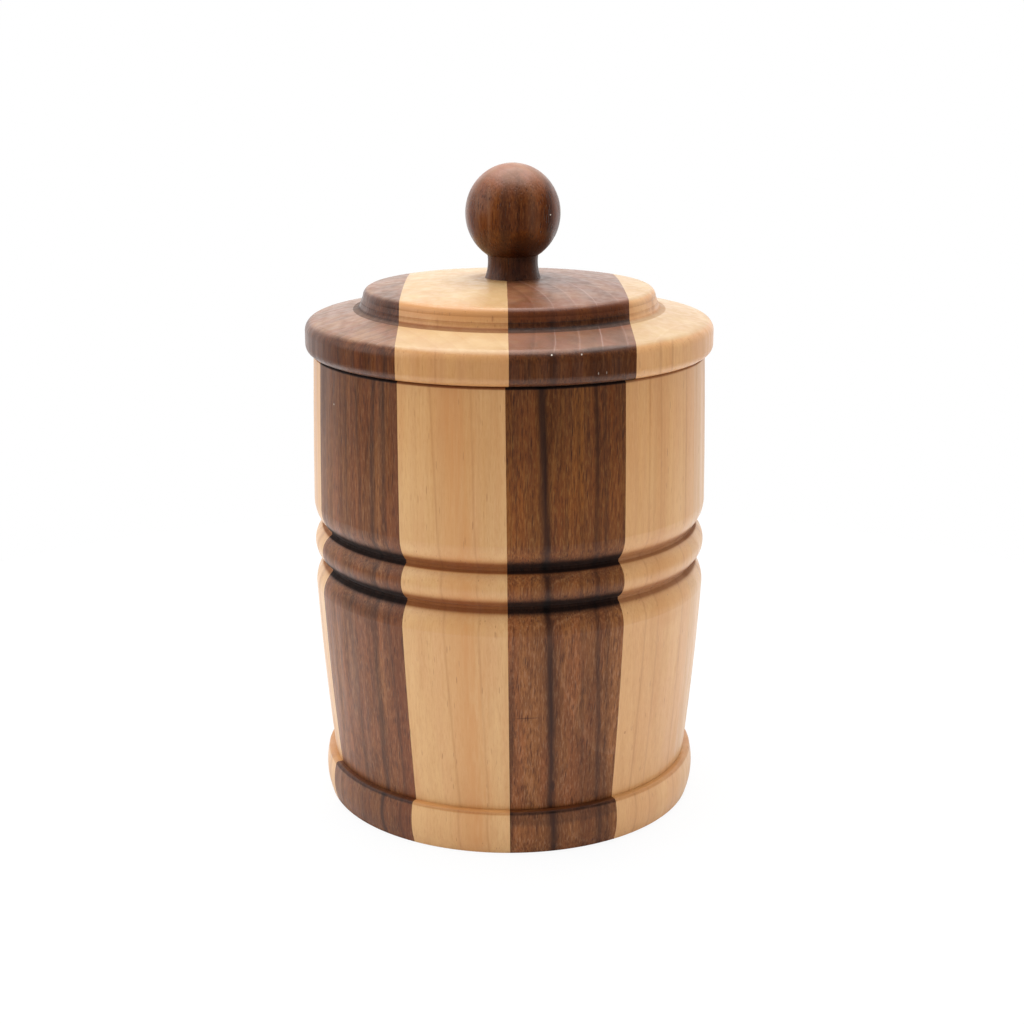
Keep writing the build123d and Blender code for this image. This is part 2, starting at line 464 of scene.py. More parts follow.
class Streak(Pattern):
    """One band of other colour that runs the length of a board.

    Attributes:
        own_course: Shift of the course for each millimetre across, so that no two sway alike.
        course_rate: Sways of the course in a millimetre along the board.
        fray_rate: Rate of the frayed edges.
        thinning: Values of the fraying between which the streak thins out.
    """

    name = "streak"
    inputs = {"Across": 0.0, "Lean": 0.0, "Datum": 0.0, "Width": 1.0, "Wander": 1.0, "Patchy": 0.4}
    own_course = 3.7
    course_rate = 1 / 55
    fray_rate: Point = (1.1, 1.1, 1 / 34)
    thinning: Pair = (0.35, 0.65)

    def wire(self, wiring: Wiring, given: bpy.types.NodeOutputs) -> tuple[bpy.types.NodeSocket, ...]:
        """Work out the outputs.

        Args:
            wiring: Shorthand for the group's own tree.
            given: The group's inputs.

        Returns:
            A socket for each of the outputs, in their order.
        """
        axes = wiring.axes(given["Vector"])
        rise = wiring.maths("SUBTRACT", axes["Z"], given["Datum"])
        start = wiring.maths("MULTIPLY", given["Across"], self.own_course)
        course = wiring.waver(wiring.maths("MULTIPLY_ADD", axes["Z"], self.course_rate, start))
        sway = wiring.maths("MULTIPLY", wiring.centred(course), given["Wander"])
        middle = wiring.total("ADD", [given["Across"], wiring.maths("MULTIPLY", rise, given["Lean"]), sway])
        stretched = wiring.vector("MULTIPLY", given["Vector"], self.fray_rate)
        fray = wiring.noise(stretched, detail=3.0, roughness=0.6)
        frayed = wiring.maths("MULTIPLY", wiring.centred(fray), given["Width"])
        away = wiring.maths("ADD", wiring.maths("SUBTRACT", axes["X"], middle), frayed)
        share = wiring.maths("DIVIDE", away, given["Width"])
        bell = wiring.maths("EXPONENT", wiring.total("MULTIPLY", [share, share, -1.0]))
        thin = wiring.maths("MULTIPLY", wiring.remap(fray, *self.thinning), given["Patchy"])
        return (wiring.maths("MULTIPLY", bell, wiring.maths("SUBTRACT", 1.0, thin)),)


class Blemish(Pattern):
    """A small soft spot on the outer side of a board.

    Attributes:
        edge_rate: Bumps of its ragged edge in a millimetre.
        raggedness: How far the edge strays, as a share of the spot.
        core: Share of the spot where its edge begins.
        rim: Share where its edge ends.
        front: Depth from the jar's axis that the spot stays in front of.
    """

    name = "blemish"
    inputs = {"Across": 0.0, "Height": 0.0, "Half Width": 1.0, "Half Length": 1.0}
    edge_rate = 1.3
    raggedness = 0.5
    core = 0.5
    rim = 1.1
    front = -4.0

    def wire(self, wiring: Wiring, given: bpy.types.NodeOutputs) -> tuple[bpy.types.NodeSocket, ...]:
        """Work out the outputs.

        Args:
            wiring: Shorthand for the group's own tree.
            given: The group's inputs.

        Returns:
            A socket for each of the outputs, in their order.
        """
        axes = wiring.axes(given["Vector"])
        place = wiring.joined(
            wiring.maths("SUBTRACT", axes["X"], given["Across"]),
            wiring.maths("SUBTRACT", axes["Z"], given["Height"]),
            0.0,
        )
        size = wiring.joined(given["Half Width"], given["Half Length"], 1.0)
        away = wiring.vector("LENGTH", wiring.vector("DIVIDE", place, size))
        ragged = wiring.centred(wiring.noise(wiring.scaled(given["Vector"], self.edge_rate)))
        strayed = wiring.maths("MULTIPLY_ADD", ragged, self.raggedness, away)
        spot = wiring.remap(strayed, self.core, self.rim, 1.0, 0.0)
        outside = wiring.maths("LESS_THAN", axes["Y"], self.front)
        return (wiring.maths("MULTIPLY", spot, outside),)


@dataclass(frozen=True)
class PaintedHollowShade:
    """A turned hollow, a crease or a gap on the jar, where shade is painted into the wood.

    Attributes:
        height: Its level on the jar.
        above: How far its darkening reaches up.
        below: How far it reaches down.
        stain_and_shade: How far the painted shade turns the wood warmer and darker, 0 to 1.
        dark_shade: How dark the painted shade at its bottom gets, 0 to 1.
        beyond: Radius within which the wood gets no painted shade.
    """

    height: float
    above: float
    below: float
    stain_and_shade: float
    dark_shade: float
    beyond: float = 49.0


class PaintedHollowShades(Pattern):
    """Painted shade in the grooves, the foot's crease, the gap under the lid, the marks round the lid's
    step and the knob's neck.

    Attributes:
        places: The levels where shade is painted.
        full_above: Share of a hollow's reach upwards that is darkened in full.
        full_below: Share of its reach downwards that is.
        inner_fade: Width of the fade to the wood that gets no painted shade.
        dark_shade_power: How closely the darkest painted shade keeps to the bottom.
    """

    name = "painted_hollow_shades"
    outputs = ("Warm Shade", "Dark Shade")
    places = (
        # Painted shade in the grooves and in the crease over the foot ring
        PaintedHollowShade(69.2, 5.3, 1.9, 1.0, 1.0),
        PaintedHollowShade(79.6, 4.9, 0.9, 1.0, 1.0),
        PaintedHollowShade(11.9, 0.5, 0.8, 0.9, 0.2),
        # Painted shade in the gap between lid and wall, and on the wall under it
        PaintedHollowShade(128.2, 0.85, 1.0, 1.0, 1.0, beyond=53.8),
        PaintedHollowShade(128.4, 0.3, 34.0, 0.4, 0.0),
        # Painted shade at the foot of the lid's step and along the tool mark over it
        PaintedHollowShade(140.1, 2.6, 0.1, 0.45, 0.0, beyond=0.0),
        PaintedHollowShade(140.1, 1.5, 0.1, 0.9, 0.85, beyond=0.0),
        PaintedHollowShade(142.2, 0.15, 0.15, 0.9, 0.4, beyond=0.0),
        # Painted shade on the knob's neck
        PaintedHollowShade(148.3, 15.0, 0.15, 0.6, 0.1, beyond=0.0),
    )
    full_above = 0.4
    full_below = 0.3
    inner_fade = 0.5
    dark_shade_power = 4.0

    def wire(self, wiring: Wiring, given: bpy.types.NodeOutputs) -> tuple[bpy.types.NodeSocket, ...]:
        """Work out the outputs.

        Args:
            wiring: Shorthand for the group's own tree.
            given: The group's inputs, of which Vector is the place on the jar.

        Returns:
            A socket for each of the outputs, in their order.
        """
        height = wiring.axes(given["Vector"])["Z"]
        radius = wiring.vector("LENGTH", wiring.level(given["Vector"]))
        warm_shades = []
        dark_shades = []
        for hollow in self.places:
            fade_up = hollow.height + self.full_above * hollow.above
            fade_down = hollow.height - self.full_below * hollow.below
            top = wiring.remap(height, fade_up, hollow.height + hollow.above, 1.0, 0.0)
            foot = wiring.remap(height, hollow.height - hollow.below, fade_down)
            outer = wiring.remap(radius, hollow.beyond - self.inner_fade, hollow.beyond)
            mask = wiring.total("MULTIPLY", [top, foot, outer])
            warm_shades.append(wiring.maths("MULTIPLY", mask, hollow.stain_and_shade))
            bottom = wiring.maths("POWER", mask, self.dark_shade_power)
            dark_shades.append(wiring.maths("MULTIPLY", bottom, hollow.dark_shade))
        return wiring.total("MAXIMUM", warm_shades), wiring.total("MAXIMUM", dark_shades)


class Tone(Enum):
    """What a streak or a spot does to the wood under it, each with its colour's name."""

    DARK = "dark"
    WARM = "warm"
    PALE = "light"
    # A painted glint: a small pale speck of highlight
    GLINT = "wax"


@dataclass(frozen=True)
class Band:
    """A streak of one board.

    Attributes:
        across: Where it lies at half height, from the board's middle to the right as seen from outside.
        width: Half of its visible width.
        amount: How strongly it colours the wood, 0 to 1.
        tone: Its kind.
        lean: How far it shifts to the right for each millimetre of height.
        wander: How far it strays on its way up.
        patchy: How far it fades in places, 0 to 1.
    """

    across: float
    width: float
    amount: float
    tone: Tone = Tone.DARK
    lean: float = 0.0
    wander: float = 1.0
    patchy: float = 0.4


@dataclass(frozen=True)
class Spot:
    """A small mark of one board.

    Attributes:
        across: Where it lies, from the board's middle to the right as seen from outside.
        height: Its height on the jar.
        half_width: Half of its width.
        half_length: Half of its height.
        amount: How strongly it colours the wood, 0 to 1.
        tone: Its kind.
    """

    across: float
    height: float
    half_width: float
    half_length: float
    amount: float
    tone: Tone = Tone.DARK


@dataclass(frozen=True)
class Species:
    """The look of one kind of oiled wood.

    Attributes:
        name: Its name.
        pale: Its ground colour.
        deep: Colour of the darker bands.
        ruddy: Colour of the redder bands.
        late: Colour of late wood, fibres and dark specks.
        dark: Colour of a dark streak.
        warm: Colour of a warm streak.
        light: Colour of a pale streak, of flecks and of a year's first line.
        pore: Colour of a pore.
        warm_shaded: What the warmer painted shade in a hollow leaves of each colour.
        dark_shaded: What the darkest painted shade in a hollow leaves of each colour.
        ring_depth: How strongly late wood shows, 0 to 1.
        line_depth: How strongly a year's first line shows on the sides.
        fibre_depth: How strongly the fibres show.
        fleck_depth: How strongly the pale flecks show.
        band_depth: How strongly the darker bands show.
        hue_depth: How strongly the redder bands show.
        pore_amount: Share of the cells that hold a pore.
        pore_width: About the width of a pore.
        pore_length: About its length.
        speck_depth: How strongly the dark specks show.
        glint: Colour of a painted glint, a small pale speck of highlight.
    """

    name: str
    pale: Colour
    deep: Colour
    ruddy: Colour
    late: Colour
    dark: Colour
    warm: Colour
    light: Colour
    pore: Colour
    warm_shaded: Colour
    dark_shaded: Colour
    ring_depth: float
    line_depth: float
    fibre_depth: float
    fleck_depth: float
    band_depth: float
    hue_depth: float
    pore_amount: float
    pore_width: float
    pore_length: float
    speck_depth: float
    wax: Colour = (0.72, 0.64, 0.54)

    def stain_and_shade(self, tone: Tone) -> Colour:
        """Give the colour of a streak or spot of this kind."""
        return getattr(self, tone.value)


WALNUT = Species(
    name="walnut",
    pale=(0.220, 0.075, 0.0187),
    deep=(0.127, 0.0375, 0.0083),
    ruddy=(0.187, 0.049, 0.0125),
    late=(0.064, 0.0160, 0.0036),
    dark=(0.030, 0.0075, 0.0024),
    warm=(0.160, 0.035, 0.0060),
    light=(0.300, 0.150, 0.075),
    pore=(0.042, 0.0095, 0.0028),
    warm_shaded=(0.42, 0.34, 0.26),
    dark_shaded=(0.20, 0.17, 0.13),
    ring_depth=0.40,
    line_depth=0.30,
    fibre_depth=0.55,
    fleck_depth=0.28,
    band_depth=0.8,
    hue_depth=0.6,
    pore_amount=0.45,
    pore_width=0.26,
    pore_length=2.6,
    speck_depth=0.55,
)
MAPLE = Species(
    name="maple",
    pale=(0.610, 0.346, 0.145),
    deep=(0.535, 0.276, 0.101),
    ruddy=(0.560, 0.282, 0.114),
    late=(0.425, 0.191, 0.059),
    dark=(0.340, 0.139, 0.042),
    warm=(0.510, 0.230, 0.072),
    light=(0.680, 0.435, 0.220),
    pore=(0.300, 0.128, 0.042),
    warm_shaded=(0.88, 0.73, 0.54),
    dark_shaded=(0.44, 0.29, 0.16),
    ring_depth=0.20,
    line_depth=0.12,
    fibre_depth=0.22,
    fleck_depth=0.12,
    band_depth=0.7,
    hue_depth=0.5,
    pore_amount=0.045,
    pore_width=0.2,
    pore_length=1.8,
    speck_depth=0.22,
)
PLAIN_WALNUT = replace(WALNUT, line_depth=0.04, ring_depth=0.25)


@dataclass(frozen=True)
class Board:
    """One piece of wood and how it was cut from the tree.

    Attributes:
        node: Name of the CAD node.
        species: Its wood.
        facing: Angle of its outer side, from the front towards the right.
        pith: Where the tree's heart lay, across and in from the jar's axis.
        ring_width: Width of a year ring.
        bands: Its own streaks.
        spots: Its own small marks.
        tint: Its colour on the sides, against the species' own.
        foot_floor_light_tint: Its colour near the jar's foot, where that differs, with the pale floor's
            reflection painted in.
        end_and_top_light_tint: Its colour on upward-facing surfaces, against the species' own: partly the
            end grain's colour, partly painted light and sheen on the tops.
        end_from: How far a surface faces upwards, 0 to 1, where the end grain and the painted top light
            begin to show.
        hollow_shade_strength: How strongly the painted shade in its hollows shows, 0 to 1.
        slant: How far its pores lean to the right for each millimetre of height.
        shine: Level of its reflections.
        roughness: How blurred they are.
        relief: Depth of its pores.
        seed: Which stretch of the tree it is from.
    """

    node: str
    species: Species
    facing: float
    pith: Pair
    ring_width: float
    bands: tuple[Band, ...] = ()
    spots: tuple[Spot, ...] = ()
    tint: Colour = (1.0, 1.0, 1.0)
    foot_floor_light_tint: Colour | None = None
    end_and_top_light_tint: Colour = (1.0, 1.0, 1.0)
    end_from: float = 0.6
    hollow_shade_strength: float = 1.0
    slant: float = 0.0
    shine: float = 0.5
    roughness: float = 0.36
    relief: float = 0.04
    seed: int = 0


@dataclass
class Workshop:
    """Dresses boards in their wood, with the patterns that they share.

    Attributes:
        rings: The pattern of year rings.
        fibres: The pattern of fibres.
        pores: The pattern of pores.
        streak: The pattern of one streak.
        blemish: The pattern of one small spot.
        painted_hollow_shades: The pattern of painted shade in the hollows.
        seed_step: How far apart along the tree the boards of two seeds lie.
        half_height: Half of the wall's height, at which a streak's place is measured.
        end_full: How far a surface faces upwards, 0 to 1, where it is all end grain.
        end_share: How much of the side grain's marks is left on end grain.
        foot_blend: Heights between which the painted floor reflection at the foot gives way to the board's
            own tint.
        pore_cover: How far a pore's colour covers the wood.
        gloss_change: How much smoother and rougher than its board's value a place may be.
        dark_shade_roughness: How much rougher the wood is where the painted shade is darkest.
        fibre_relief: Height of the fibres against the depth of the pores.
        bump_strength: How strongly the relief shows.
        band_turning: Values of a noise between which the bands of tone set in.
        hue_turning: The same for the bands of hue.
        gloss_turning: The same for the rougher places.
        coarse_share: Strength of the coarse fibres against that of the fine ones.
        year_share: Strength of a year's own tone against that of its late wood.
        end_line: Strength that a year's first line nears on end grain, where the sides have 1.
    """

    rings: Pattern = field(default_factory=GrowthRings)
    fibres: Pattern = field(default_factory=Fibres)
    pores: Pattern = field(default_factory=Pores)
    streak: Pattern = field(default_factory=Streak)
    blemish: Pattern = field(default_factory=Blemish)
    painted_hollow_shades: Pattern = field(default_factory=PaintedHollowShades)
    seed_step: float = 370.0
    half_height: float = 64.0
    end_full: float = 0.95
    end_share: float = 0.15
    foot_blend: Pair = (52.0, 100.0)
    pore_cover: float = 0.7
    gloss_change: Pair = (-0.04, 0.08)
    dark_shade_roughness: float = 0.5
    fibre_relief: float = 0.35
    bump_strength: float = 0.6
    band_turning: Pair = (0.35, 0.65)
    hue_turning: Pair = (0.42, 0.62)
    gloss_turning: Pair = (0.3, 0.7)
    coarse_share: float = 0.6
    year_share: float = 0.5
    end_line: float = 2.6

    def dress(self, board: Board) -> None:
        """Give a CAD node the material of its board.

        Args:
            board: The board to show on its node.
        """
        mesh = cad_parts[board.node].data
        finish = self.finish(board)
        for number in range(len(mesh.materials)):
            mesh.materials[number] = finish
        log.info("%s: %s, rings %.1f mm", board.node, board.species.name, board.ring_width)

    def finish(self, board: Board) -> bpy.types.Material:
        """Build the material of one board.

        Args:
            board: The board.

        Returns:
            The new material.
        """
        wood = board.species
        material = bpy.data.materials.new(f"{wood.name}_{board.node}")
        wiring = Wiring.afresh(material)
        known = wiring.node("ShaderNodeTexCoord").outputs
        place = wiring.scaled(known["Object"], PER_METRE)
        end = wiring.remap(wiring.axes(known["Normal"])["Z"], board.end_from, self.end_full)
        turn = wiring.node("ShaderNodeMapping", vector_type="POINT")
        wiring.feed(turn.inputs["Vector"], place)
        wiring.feed(turn.inputs["Rotation"], (0.0, 0.0, -math.radians(board.facing)))
        wiring.feed(turn.inputs["Location"], (0.0, 0.0, board.seed * self.seed_step))
        where = turn.outputs["Vector"]
        fibres = wiring.group(self.fibres, Vector=where)
        pores = wiring.group(
            self.pores,
            Vector=where,
            Width=wood.pore_width,
            Length=wood.pore_length,
            Amount=wood.pore_amount,
            Slant=board.slant,
        )["Mask"]
        side = wiring.maths("MULTIPLY_ADD", end, self.end_share - 1.0, 1.0)
        colour = self.grain(wiring, board, where, fibres, side)
        # The board's tint: on the sides with a painted reflection of the floor towards the foot, and on
        # upward-facing surfaces the end grain's colour with painted light and sheen
        shade = board.tint
        if board.foot_floor_light_tint:
            rise = wiring.remap(wiring.axes(place)["Z"], *self.foot_blend)
            shade = wiring.tint("MIX", rise, board.foot_floor_light_tint, board.tint)
        colour = wiring.tint("MULTIPLY", 1.0, colour, wiring.tint("MIX", end, shade, board.end_and_top_light_tint))
        colour = self.features(wiring, board, where, colour, side)
        pores = wiring.maths("MULTIPLY", pores, side)
        colour = wiring.tint("MIX", wiring.maths("MULTIPLY", pores, self.pore_cover), colour, wood.pore)
        # Painted shade in the hollows, the gap under the lid and on the wall below it: warmer and darker
        # wood, rougher where darkest
        hollow_shade = wiring.group(self.painted_hollow_shades, Vector=place)
        stain_and_shade = wiring.maths("MULTIPLY", hollow_shade["Warm Shade"], board.hollow_shade_strength)
        dark_shade = wiring.maths("MULTIPLY", hollow_shade["Dark Shade"], board.hollow_shade_strength)
        colour = wiring.tint("MULTIPLY", stain_and_shade, colour, wood.warm_shaded)
        colour = wiring.tint("MULTIPLY", dark_shade, colour, wood.dark_shaded)
        smoothest, roughest = (board.roughness + change for change in self.gloss_change)
        uneven = wiring.remap(fibres["Coarse"], *self.gloss_turning, smoothest, roughest)
        rough = wiring.maths("MULTIPLY_ADD", dark_shade, self.dark_shade_roughness, uneven)
        dents = wiring.maths("MULTIPLY", pores, -1.0)
        furrows = wiring.maths("MULTIPLY_ADD", fibres["Fine"], self.fibre_relief, dents)
        self.polish(wiring, board, colour, rough, wiring.maths("MULTIPLY", furrows, side))
        return material

    def polish(
        self,
        wiring: Wiring,
        board: Board,
        colour: bpy.types.NodeSocket,
        rough: bpy.types.NodeSocket,
        furrows: bpy.types.NodeSocket,
    ) -> None:
        """Give the material its oiled surface.

        Args:
            wiring: The material's wiring.
            board: The board.
            colour: Colour of the wood.
            rough: Its roughness.
            furrows: Height of its fibres and pores.
        """
        surface = wiring.node("ShaderNodeBsdfPrincipled")
        surface.inputs["Specular IOR Level"].default_value = board.shine
        bump = wiring.node("ShaderNodeBump")
        bump.inputs["Distance"].default_value = board.relief * MM
        bump.inputs["Strength"].default_value = self.bump_strength
        wiring.feed(bump.inputs["Height"], furrows)
        wiring.feed(surface.inputs["Base Color"], colour)
        wiring.feed(surface.inputs["Roughness"], rough)
        wiring.feed(surface.inputs["Normal"], bump.outputs["Normal"])
        output = wiring.node("ShaderNodeOutputMaterial")
        wiring.feed(output.inputs["Surface"], surface.outputs["BSDF"])

    def grain(
        self,
        wiring: Wiring,
        board: Board,
        where: bpy.types.NodeSocket,
        fibres: bpy.types.NodeOutputs,
        side: bpy.types.NodeSocket,
    ) -> bpy.types.NodeSocket:
        """Colour the board's own grain.

        Args:
            wiring: The material's wiring.
            board: The board.
            where: Coordinates across, deep and along the board.
            fibres: Outputs of its fibre pattern.
            side: How far the surface shows side grain, 1, or end grain, near 0.

        Returns:
            The colour's socket.
        """
        wood = board.species
        rings = wiring.group(
            self.rings,
            Vector=where,
            Pith_Across=board.pith[0],
            Pith_Deep=board.pith[1],
            Ring_Width=board.ring_width,
        )
        band = wiring.remap(fibres["Band"], *self.band_turning, 0.0, wood.band_depth)
        colour = wiring.tint("MIX", band, wood.pale, wood.deep)
        hue = wiring.remap(fibres["Hue"], *self.hue_turning, 0.0, wood.hue_depth)
        colour = wiring.tint("MIX", hue, colour, wood.ruddy)
        year = wiring.maths("MULTIPLY", rings["Year Tone"], wood.ring_depth * self.year_share)
        colour = wiring.tint("MIX", year, colour, wood.deep)
        late = wiring.maths("MULTIPLY", rings["Late Wood"], wood.ring_depth)
        colour = wiring.tint("MIX", late, colour, wood.late)
        end_depth = self.end_line * wood.line_depth
        bold = wiring.maths("MULTIPLY_ADD", side, (1.0 - self.end_line) * wood.line_depth, end_depth)
        early = wiring.maths("MULTIPLY", rings["Early Line"], bold)
        colour = wiring.tint("MIX", early, colour, wood.light)
        # The fibres' output, the values between which it sets in, its strength and its colour
        layers = (
            ("Fine", 0.42, 0.70, wood.fibre_depth, wood.late),
            ("Coarse", 0.50, 0.70, wood.fibre_depth * self.coarse_share, wood.late),
            ("Fleck", 0.46, 0.34, wood.speck_depth, wood.late),
            ("Fleck", 0.52, 0.66, wood.fleck_depth, wood.light),
        )
        for output, low, high, depth, stain_and_shade in layers:
            amount = wiring.maths("MULTIPLY", wiring.remap(fibres[output], low, high, 0.0, depth), side)
            colour = wiring.tint("MIX", amount, colour, stain_and_shade)
        return colour

    def features(
        self,
        wiring: Wiring,
        board: Board,
        where: bpy.types.NodeSocket,
        colour: bpy.types.NodeSocket,
        side: bpy.types.NodeSocket,
    ) -> bpy.types.NodeSocket:
        """Lay the board's own streaks and spots over its grain.

        Args:
            wiring: The material's wiring.
            board: The board.
            where: Coordinates across, deep and along the board.
            colour: Colour of the grain.
            side: How far the surface shows side grain, 1, or end grain, near 0.

        Returns:
            The resulting colour's socket.
        """
        base = board.seed * self.seed_step
        for band in board.bands:
            mask = wiring.group(
                self.streak,
                Vector=where,
                Across=band.across,
                Lean=band.lean,
                Datum=base + self.half_height,
                Width=band.width,
                Wander=band.wander,
                Patchy=band.patchy,
            )["Mask"]
            amount = wiring.total("MULTIPLY", [mask, side, band.amount])
            colour = wiring.tint("MIX", amount, colour, board.species.stain_and_shade(band.tone))
        for spot in board.spots:
            mask = wiring.group(
                self.blemish,
                Vector=where,
                Across=spot.across,
                Height=base + spot.height,
                Half_Width=spot.half_width,
                Half_Length=spot.half_length,
            )["Mask"]
            amount = wiring.maths("MULTIPLY", mask, spot.amount)
            colour = wiring.tint("MIX", amount, colour, board.species.stain_and_shade(spot.tone))
        return colour


class Woodwork:
    """Base of the sub-assemblies, each of which is made of boards."""

    def boards(self) -> list[Board]:
        """List the boards.

        Returns:
            The boards, in the order of their nodes.
        """
        raise NotImplementedError

    def build(self, workshop: Workshop) -> None:
        """Dress every board in its wood."""
        for board in self.boards():
            workshop.dress(board)


@dataclass
class JarWall(Woodwork):
    """The ring of upright staves, with its foot ring, grooves and bead turned in it.

    Attributes:
        joints: The four joints that show, from the left round to the right.
        closing: How many even staves close the ring from the last of these to the first.
        back_woods: Woods of the staves past the right one, round the back.
        pith_depth: Depth of their trees' hearts on average, from the axis away from their outer side.
        pith_spread: How far the hearts lay from there.
        band_spread: How far from a back stave's middle its two streaks lie.
        shuffle: Steps of the sines that set the hearts and the streaks from stave to stave.
    """

    joints: tuple[float, ...] = (-69.0, -30.6, -0.35, 33.2)
    closing: int = 8
    back_woods: tuple[Species, ...] = (MAPLE, WALNUT, MAPLE, WALNUT, MAPLE, WALNUT, MAPLE)
    pith_depth: float = -120.0
    pith_spread: float = 60.0
    band_spread: Pair = (11.0, 9.0)
    shuffle: tuple[float, ...] = (2.1, 1.7, 1.9, 2.3)

    def facings(self) -> list[float]:
        """Find how the staves stand.

        Returns:
            The angle that each stave's middle faces, in their order.
        """
        last = self.joints[-1]
        step = (self.joints[0] + 360.0 - last) / self.closing
        edges = [*self.joints, *(last + step * number for number in range(1, self.closing + 1))]
        return [(left + right) / 2 for left, right in zip(edges, edges[1:])]

    def boards(self) -> list[Board]:
        """List the staves from the left front one round to the right.

        Returns:
            The staves, in the order of their nodes.
        """
        left, front_left, front_right, right, *back = self.facings()
        shown = [
            Board(
                "wall_stave_01", WALNUT, left, pith=(70.0, -20.0), ring_width=2.6,
                bands=(
                    Band(-1.1, 0.9, 0.45, lean=-0.02, wander=0.5),
                    Band(8.9, 0.9, 0.65, lean=0.01, wander=1.6),
                    Band(13.8, 0.6, 0.60, lean=-0.02),
                    Band(16.5, 2.6, 0.45, Tone.WARM),
                    Band(5.6, 0.7, 0.40, lean=-0.05, wander=0.5),
                ),
                spots=(
                    # A pale speck painted as a glint
                    Spot(-8.0, 118.6, 0.35, 0.3, 0.6, Tone.GLINT),
                    Spot(0.0, 7.0, 40.0, 8.0, 0.2),  # the foot ring
                    Spot(2.0, 65.0, 15.0, 2.6, 0.3),  # the lip under the grooves
                ),
                # Its upward-facing tops, the bead's among them, are painted lighter, as lit from above
                tint=(1.15, 1.18, 1.02), foot_floor_light_tint=(1.10, 1.12, 1.04), end_and_top_light_tint=(1.3, 1.3, 1.3),
                shine=0.42, roughness=0.42, seed=1,
            ),
            Board(
                "wall_stave_02", MAPLE, front_left, pith=(-30.0, -160.0), ring_width=5.0,
                bands=(
                    Band(2.6, 4.6, 0.8, Tone.WARM, lean=-0.045),
                    Band(-2.4, 0.35, 0.40, lean=-0.055, wander=0.4),
                    Band(6.9, 0.30, 0.35, lean=-0.030, wander=0.4),
                ),
                tint=(0.98, 1.02, 1.05), end_and_top_light_tint=(1.08, 1.08, 1.08), seed=2,
            ),
            Board(
                "wall_stave_03", WALNUT, front_right, pith=(-20.0, 60.0), ring_width=4.0,
                bands=(
                    Band(-5.2, 1.25, 1.0, lean=-0.034, wander=0.8, patchy=0.15),
                    Band(8.4, 0.9, 0.80, lean=-0.026, patchy=0.3),
                    Band(10.8, 0.6, 0.35, lean=-0.026),
                    Band(3.7, 0.45, 0.35, lean=-0.026, patchy=0.3),
                ),
                spots=(
                    Spot(5.8, 34.0, 3.4, 44.0, 0.22),
                    Spot(-15.0, 28.0, 1.6, 34.0, 0.55),
                    Spot(6.0, 82.0, 14.0, 18.0, 0.12),
                    Spot(-3.1, 18.8, 0.7, 1.9, 0.8),
                    Spot(-10.4, 39.5, 3.6, 0.22, 0.5),
                    Spot(0.0, 10.3, 40.0, 2.4, 0.4),  # the shoulder of the foot ring
                    Spot(9.0, 5.0, 8.0, 8.0, 0.2),
                ),
                # Lighter and greyer towards the foot: painted reflection of the pale floor
                tint=(1.09, 1.05, 0.54), foot_floor_light_tint=(1.27, 1.39, 1.56), end_and_top_light_tint=(1.4, 1.4, 1.4),
                slant=0.07, shine=0.25, roughness=0.42, seed=3,
            ),
            Board(
                "wall_stave_04", MAPLE, right, pith=(40.0, -150.0), ring_width=4.6,
                bands=(
                    Band(-7.6, 0.35, 0.40, lean=0.01, wander=0.6),
                    Band(-2.6, 0.30, 0.35, wander=0.6),
                    Band(9.6, 0.35, 0.35, wander=0.6),
                ),
                spots=(
                    Spot(-12.0, 31.0, 0.4, 0.5, 0.7),
                    Spot(1.0, 75.0, 12.0, 4.4, 0.40, Tone.WARM),  # the bead
                    Spot(3.0, 63.5, 9.0, 6.0, 0.35, Tone.WARM),  # the lip under the grooves
                    Spot(0.0, 84.0, 11.0, 2.6, 0.35, Tone.WARM),  # the lip over them
                ),
                tint=(1.04, 1.05, 1.07), end_and_top_light_tint=(1.06, 1.08, 1.1), hollow_shade_strength=0.7, shine=0.58, seed=4,
            ),
        ]
        for number, (wood, facing) in enumerate(zip(self.back_woods, back), len(shown) + 1):
            shown.append(self.back_board(number, wood, facing))
        return shown

    def back_board(self, number: int, wood: Species, facing: float) -> Board:
        """Make up a stave that doesn't show from the front.

        Args:
            number: Its number round the jar.
            wood: Its wood.
            facing: Angle of its outer side.

        Returns:
            The stave.
        """
        pith_turn, depth_turn, first_turn, second_turn = (step * number for step in self.shuffle)
        pith_across = self.pith_spread * math.sin(pith_turn)
        pith_deep = self.pith_depth + self.pith_spread * math.cos(depth_turn)
        first, second = self.band_spread
        return Board(
            f"wall_stave_{number:02d}", wood, facing, pith=(pith_across, pith_deep), ring_width=4.0,
            bands=(
                Band(first * math.sin(first_turn), 0.9, 0.6, wander=1.5),
                Band(second * math.cos(second_turn), 0.5, 0.4, wander=1.5),
            ),
            tint=(1.0, 1.05, 1.15), hollow_shade_strength=0.8, seed=number,
        )


@dataclass
class JarFloor(Woodwork):
    """The disc let into the staves from below.

    Attributes:
        ring_width: Width of its year rings.
    """

    ring_width: float = 4.5

    def boards(self) -> list[Board]:
        """List the disc's one board."""
        return [Board("jar_floor", WALNUT, 0.0, pith=(25.0, -140.0), ring_width=self.ring_width, seed=20)]


